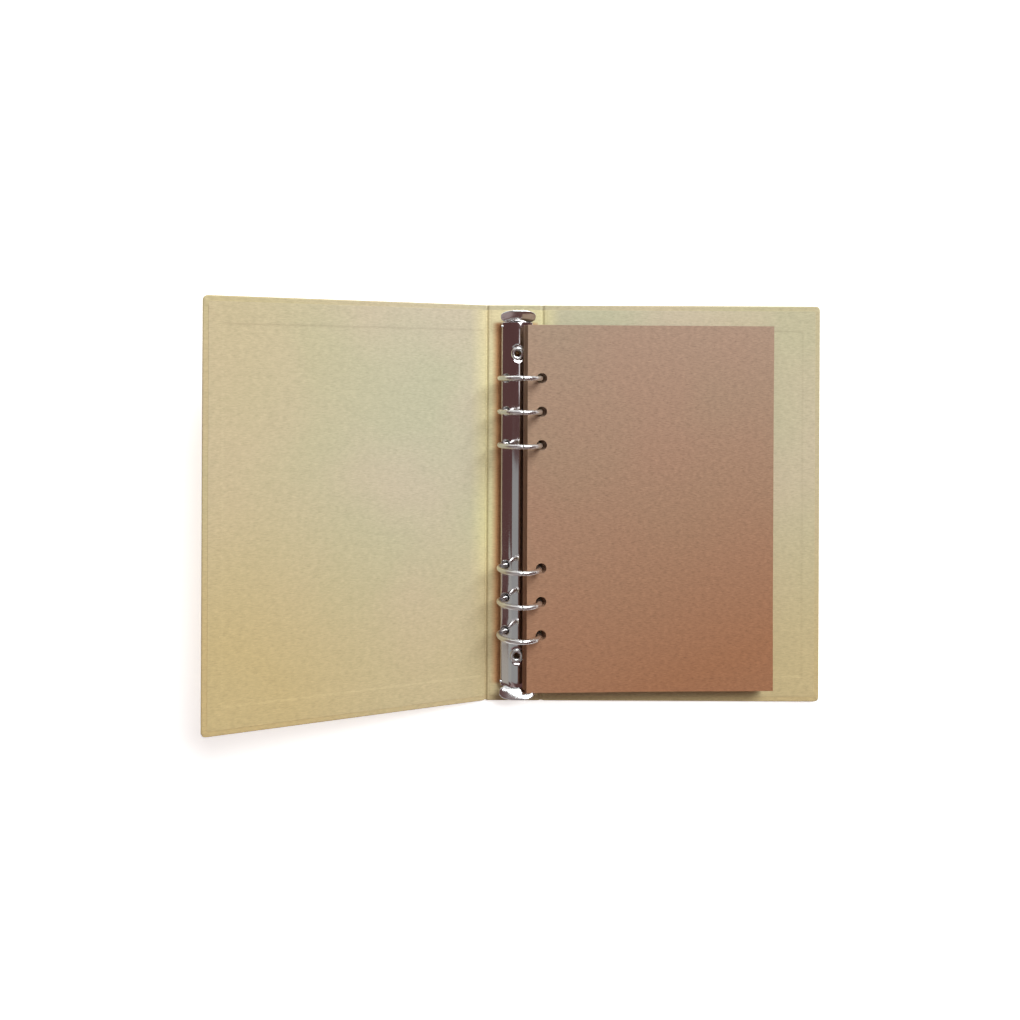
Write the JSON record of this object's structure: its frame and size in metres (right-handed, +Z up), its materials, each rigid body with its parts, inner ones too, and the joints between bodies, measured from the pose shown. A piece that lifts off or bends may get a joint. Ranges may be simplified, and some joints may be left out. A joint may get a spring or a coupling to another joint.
{
  "type": "ring scrapbook album",
  "caption": "Kraft scrapbook album lying open: board case with creased spine, arched metal ring plate with end levers, split rings and loose punched leaves.",
  "frame": {"origin": "middle of the spine's underside, on the surface that the open album lies on", "axes": "+X across the open album towards the back cover, +Y along the spine towards the head, +Z up"},
  "size_m": [0.3504, 0.232, 0.0542],
  "materials": {
    "cover_kraft": "matt kraft covering paper with fine fibres",
    "lining_kraft": "matt pasted kraft lining",
    "greyboard": "raw grey board",
    "nickel": "bright nickel plate",
    "steel": "zinc-plated spring steel",
    "leaf_kraft": "matt brown kraft card"
  },
  "bodies": {
    "spine": {"spine_board": "greyboard", "spine_wrap": "cover_kraft", "spine_lining": "lining_kraft", "ring_plate": "nickel", "eyelet_top": "nickel", "eyelet_bottom": "nickel", "rivet_cap_top": "nickel", "rivet_cap_bottom": "nickel", "lever_pin_top": "steel", "lever_pin_bottom": "steel"},
    "front_cover": {"front_board": "greyboard", "front_wrap": "cover_kraft", "front_lining": "lining_kraft"},
    "back_cover": {"back_board": "greyboard", "back_wrap": "cover_kraft", "back_lining": "lining_kraft"},
    "left_rings": {"left_rail": "steel", "left_ring_1": "nickel", "left_ring_2": "nickel", "left_ring_3": "nickel", "left_ring_4": "nickel", "left_ring_5": "nickel", "left_ring_6": "nickel"},
    "right_rings": {"right_rail": "steel", "right_ring_1": "nickel", "right_ring_2": "nickel", "right_ring_3": "nickel", "right_ring_4": "nickel", "right_ring_5": "nickel", "right_ring_6": "nickel"},
    "top_lever": {"lever_top": "nickel"},
    "bottom_lever": {"lever_bottom": "nickel"},
    "last_leaf": {"leaf_20": "leaf_kraft"},
    "leaf_stack": {"leaf_02": "leaf_kraft", "leaf_03": "leaf_kraft", "leaf_04": "leaf_kraft", "leaf_05": "leaf_kraft", "leaf_06": "leaf_kraft", "leaf_07": "leaf_kraft", "leaf_08": "leaf_kraft", "leaf_09": "leaf_kraft", "leaf_10": "leaf_kraft", "leaf_11": "leaf_kraft", "leaf_12": "leaf_kraft", "leaf_13": "leaf_kraft", "leaf_14": "leaf_kraft", "leaf_15": "leaf_kraft", "leaf_16": "leaf_kraft", "leaf_17": "leaf_kraft", "leaf_18": "leaf_kraft", "leaf_19": "leaf_kraft"},
    "top_leaf": {"leaf_01": "leaf_kraft"}
  },
  "joints": [
    {"name": "front_cover_fold", "type": "hinge", "parent": "spine", "child": "front_cover", "pos_m": [-0.0164, 0, 0.0003], "axis": [0, 1, 0], "range_deg": [-18.6, 71.4]},
    {"name": "back_cover_fold", "type": "hinge", "parent": "spine", "child": "back_cover", "pos_m": [0.0164, 0, 0.0003], "axis": [0, -1, 0], "range_deg": [0, 90]},
    {"name": "rings_open", "type": "hinge", "parent": "spine", "child": "left_rings", "pos_m": [-0.007, 0, 0.0049], "axis": [0, 1, 0], "range_deg": [-10, 0]},
    {"name": "right_rings_open", "type": "hinge", "parent": "spine", "child": "right_rings", "pos_m": [0.0092, 0, 0.0049], "axis": [0, -1, 0], "range_deg": [-10, 0]},
    {"name": "top_lever_press", "type": "hinge", "parent": "spine", "child": "top_lever", "pos_m": [0.0011, 0.1033, 0.0058], "axis": [1, 0, 0], "range_deg": [-15, 0]},
    {"name": "bottom_lever_press", "type": "hinge", "parent": "spine", "child": "bottom_lever", "pos_m": [0.0011, -0.1033, 0.0058], "axis": [-1, 0, 0], "range_deg": [-15, 0]},
    {"name": "leaves_follow_cover", "type": "hinge", "parent": "spine", "child": "last_leaf", "pos_m": [0.0011, 0, 0.0179], "axis": [0, -1, 0], "range_deg": [0, 92]},
    {"name": "leaf_stack_play", "type": "slide", "parent": "last_leaf", "child": "leaf_stack", "axis": [0, 1, 0], "range_m": [-0.0004, 0.0004]},
    {"name": "top_leaf_turn", "type": "hinge", "parent": "leaf_stack", "child": "top_leaf", "pos_m": [0.0011, 0, 0.0179], "axis": [0, 1, 0], "range_deg": [-170, 0]}
  ],
  "couplings": [
    {"joint": "right_rings_open", "follows": "rings_open", "ratio": 1},
    {"joint": "top_lever_press", "follows": "rings_open", "ratio": 1.5},
    {"joint": "bottom_lever_press", "follows": "rings_open", "ratio": 1.5},
    {"joint": "leaves_follow_cover", "follows": "back_cover_fold", "ratio": 1.02}
  ]
}
